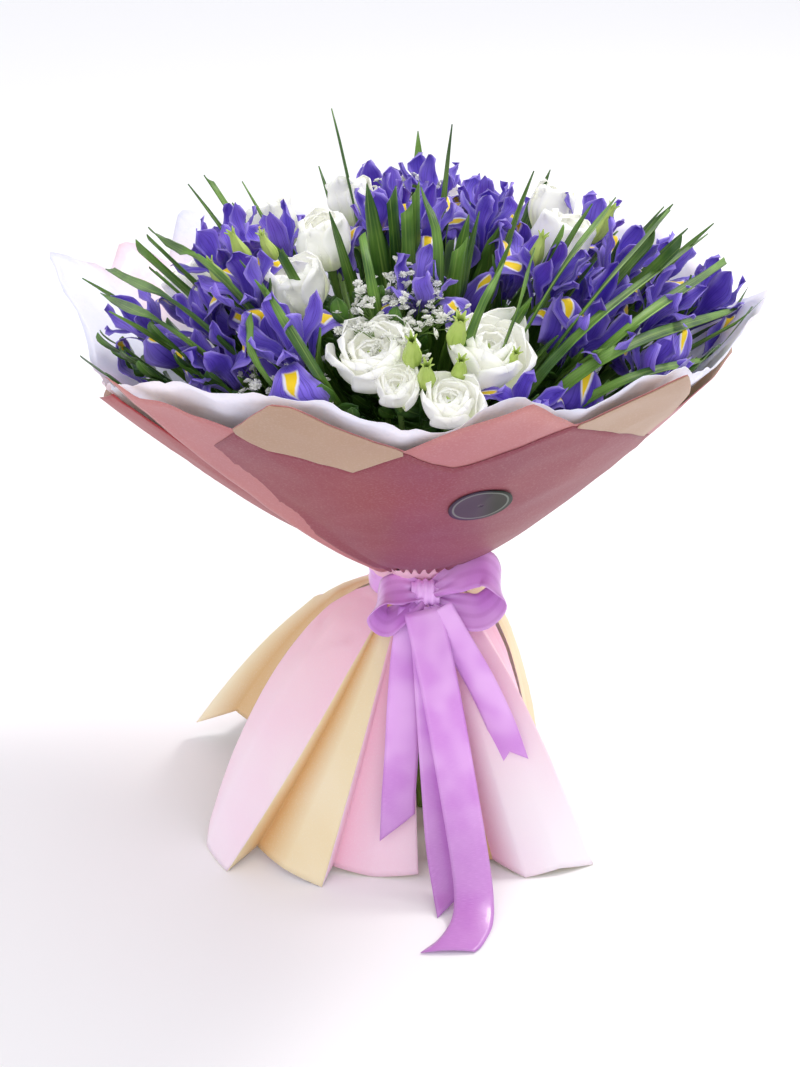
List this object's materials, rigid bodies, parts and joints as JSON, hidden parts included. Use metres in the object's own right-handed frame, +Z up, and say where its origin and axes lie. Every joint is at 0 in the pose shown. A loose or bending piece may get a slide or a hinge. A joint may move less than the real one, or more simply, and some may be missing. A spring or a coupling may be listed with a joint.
{
  "type": "wrapped bouquet of irises and lisianthus",
  "caption": "Hand-tied bouquet of violet Dutch irises, white lisianthus and baby's breath in dusty-pink wrapping and white tissue, tied with a satin bow and standing in a flared paper skirt",
  "frame": {"origin": "centre of the cut ends of the stems, on the surface that they stand on", "axes": "+Z up along the tied stems; the front of the bouquet, with the bow, faces -Y"},
  "size_m": [0.5044, 0.4751, 0.5112],
  "materials": {
    "iris_petals": "matte",
    "lisianthus_petals": "matte",
    "greenery": "satin",
    "gypsophila": "matte",
    "outer_wrap": "satin",
    "tissue": "satin",
    "skirt_paper": "matte",
    "satin_ribbon": "satin",
    "sticker": "satin",
    "string": "matte"
  },
  "bodies": {
    "root": {"binding_string": "string", "gypsophila_back": "gypsophila", "gypsophila_front": "gypsophila", "gypsophila_left": "gypsophila", "iris_01": "iris_petals", "iris_02": "iris_petals", "iris_03": "iris_petals", "iris_04": "iris_petals", "iris_05": "iris_petals", "iris_06": "iris_petals", "iris_07": "iris_petals", "iris_08": "iris_petals", "iris_09": "iris_petals", "iris_10": "iris_petals", "iris_11": "iris_petals", "iris_12": "iris_petals", "iris_13": "iris_petals", "iris_14": "iris_petals", "iris_15": "iris_petals", "iris_16": "iris_petals", "iris_17": "iris_petals", "iris_18": "iris_petals", "iris_19": "iris_petals", "iris_20": "iris_petals", "iris_21": "iris_petals", "iris_22": "iris_petals", "iris_23": "iris_petals", "iris_24": "iris_petals", "iris_25": "iris_petals", "iris_26": "iris_petals", "iris_27": "iris_petals", "iris_28": "iris_petals", "label": "sticker", "lisianthus_01": "lisianthus_petals", "lisianthus_02": "lisianthus_petals", "lisianthus_03": "lisianthus_petals", "lisianthus_04": "lisianthus_petals", "lisianthus_05": "lisianthus_petals", "lisianthus_06": "lisianthus_petals", "lisianthus_07": "lisianthus_petals", "lisianthus_08": "lisianthus_petals", "lisianthus_09": "lisianthus_petals", "lisianthus_10": "lisianthus_petals", "lisianthus_11": "lisianthus_petals", "lisianthus_12": "lisianthus_petals", "lisianthus_13": "lisianthus_petals", "ribbon_band": "satin_ribbon", "ribbon_bow": "satin_ribbon", "ribbon_tail_front": "satin_ribbon", "ribbon_tail_left": "satin_ribbon", "ribbon_tail_middle": "satin_ribbon", "ribbon_tail_right": "satin_ribbon", "skirt_back_left": "skirt_paper", "skirt_back_right": "skirt_paper", "skirt_front_left": "skirt_paper", "skirt_front_right": "skirt_paper", "stems_and_leaves": "greenery", "tissue_collar": "tissue", "wrap_back": "outer_wrap", "wrap_front": "outer_wrap"}
  },
  "joints": []
}
